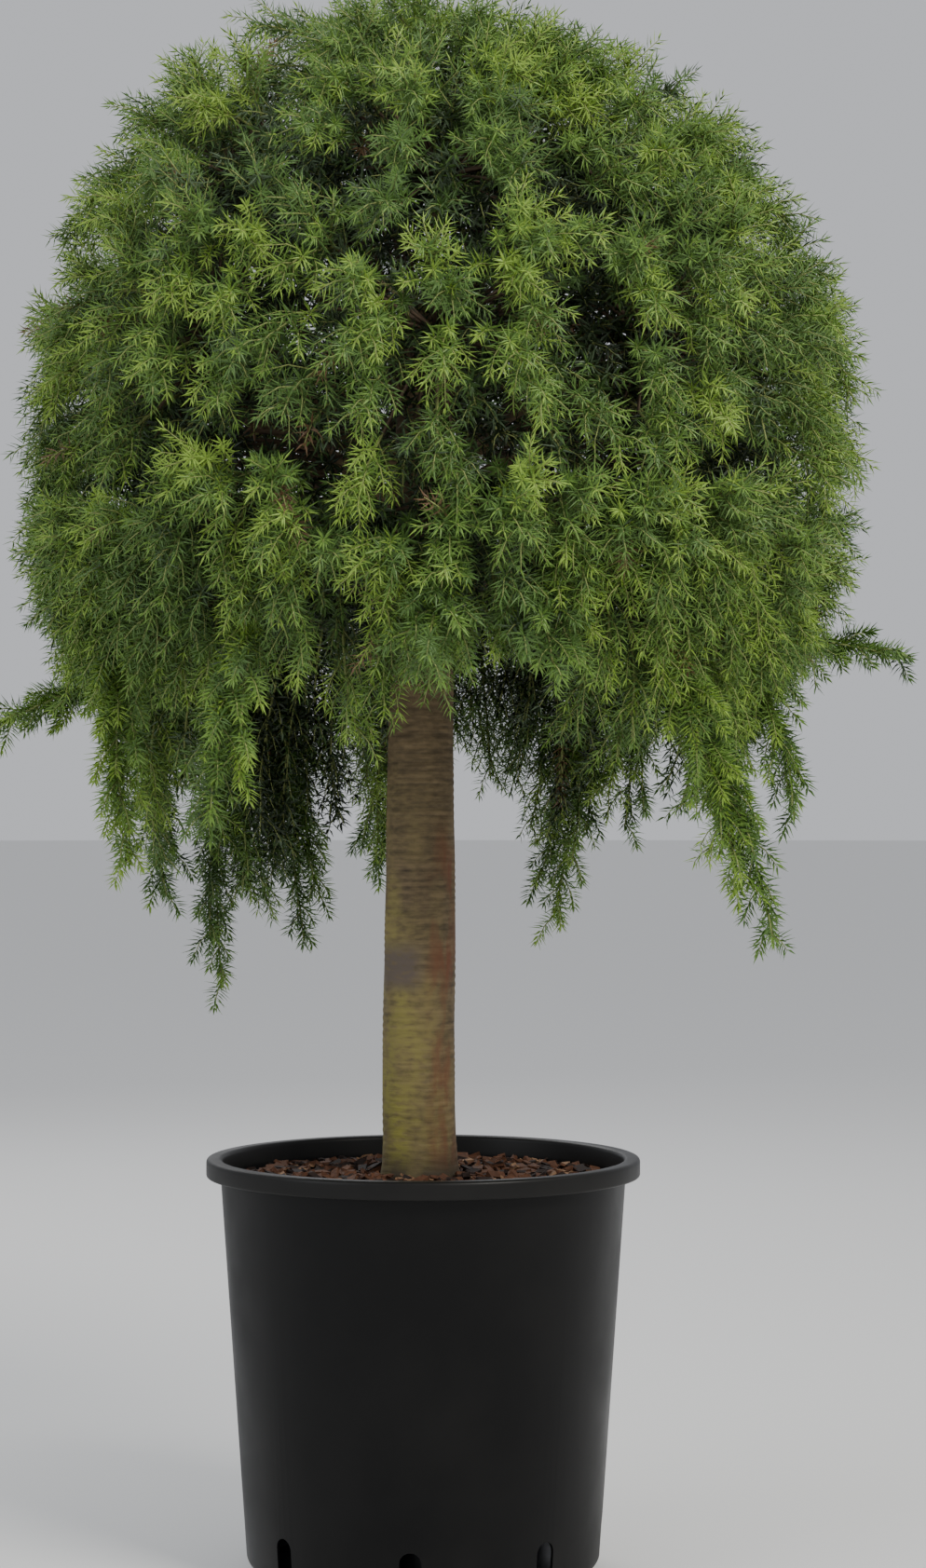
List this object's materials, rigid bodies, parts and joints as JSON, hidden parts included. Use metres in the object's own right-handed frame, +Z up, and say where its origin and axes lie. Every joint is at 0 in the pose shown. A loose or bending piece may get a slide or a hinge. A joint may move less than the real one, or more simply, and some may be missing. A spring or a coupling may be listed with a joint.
{
  "type": "potted weeping standard juniper",
  "caption": "Weeping standard juniper: a clear straight stem with an umbrella-shaped head of awl needles, standing in a round black nursery pot of bark mulch.",
  "frame": {"origin": "centre of the pot's flat underside", "axes": "+Z up along the stem; the side that the picture shows faces -Y, with +X to its right"},
  "size_m": [0.8872, 0.841, 1.5132],
  "materials": {
    "pot_plastic": "satin black moulded plastic",
    "bark_mulch": "loose damp bark mulch",
    "bark": "thin smooth bark, ringed and flaking, with green algae",
    "needles": "satin green awl needles"
  },
  "bodies": {
    "root": {"pot": "pot_plastic", "growing_medium": "bark_mulch", "trunk": "bark", "foliage_top": "needles", "bough_upper_01": "bark", "foliage_upper_01": "needles", "bough_upper_02": "bark", "foliage_upper_02": "needles", "bough_upper_03": "bark", "foliage_upper_03": "needles", "bough_upper_04": "bark", "foliage_upper_04": "needles", "bough_upper_05": "bark", "foliage_upper_05": "needles", "bough_middle_01": "bark", "foliage_middle_01": "needles", "bough_middle_02": "bark", "foliage_middle_02": "needles", "bough_middle_03": "bark", "foliage_middle_03": "needles", "bough_middle_04": "bark", "foliage_middle_04": "needles", "bough_middle_05": "bark", "foliage_middle_05": "needles", "bough_middle_06": "bark", "foliage_middle_06": "needles", "bough_middle_07": "bark", "foliage_middle_07": "needles", "bough_middle_08": "bark", "foliage_middle_08": "needles", "bough_lower_01": "bark", "foliage_lower_01": "needles", "bough_lower_02": "bark", "foliage_lower_02": "needles", "bough_lower_03": "bark", "foliage_lower_03": "needles", "bough_lower_04": "bark", "foliage_lower_04": "needles", "bough_lower_05": "bark", "foliage_lower_05": "needles", "bough_lower_06": "bark", "foliage_lower_06": "needles", "bough_lower_07": "bark", "foliage_lower_07": "needles", "bough_lower_08": "bark", "foliage_lower_08": "needles", "bough_lower_09": "bark", "foliage_lower_09": "needles", "bough_lower_10": "bark", "foliage_lower_10": "needles"}
  },
  "joints": []
}
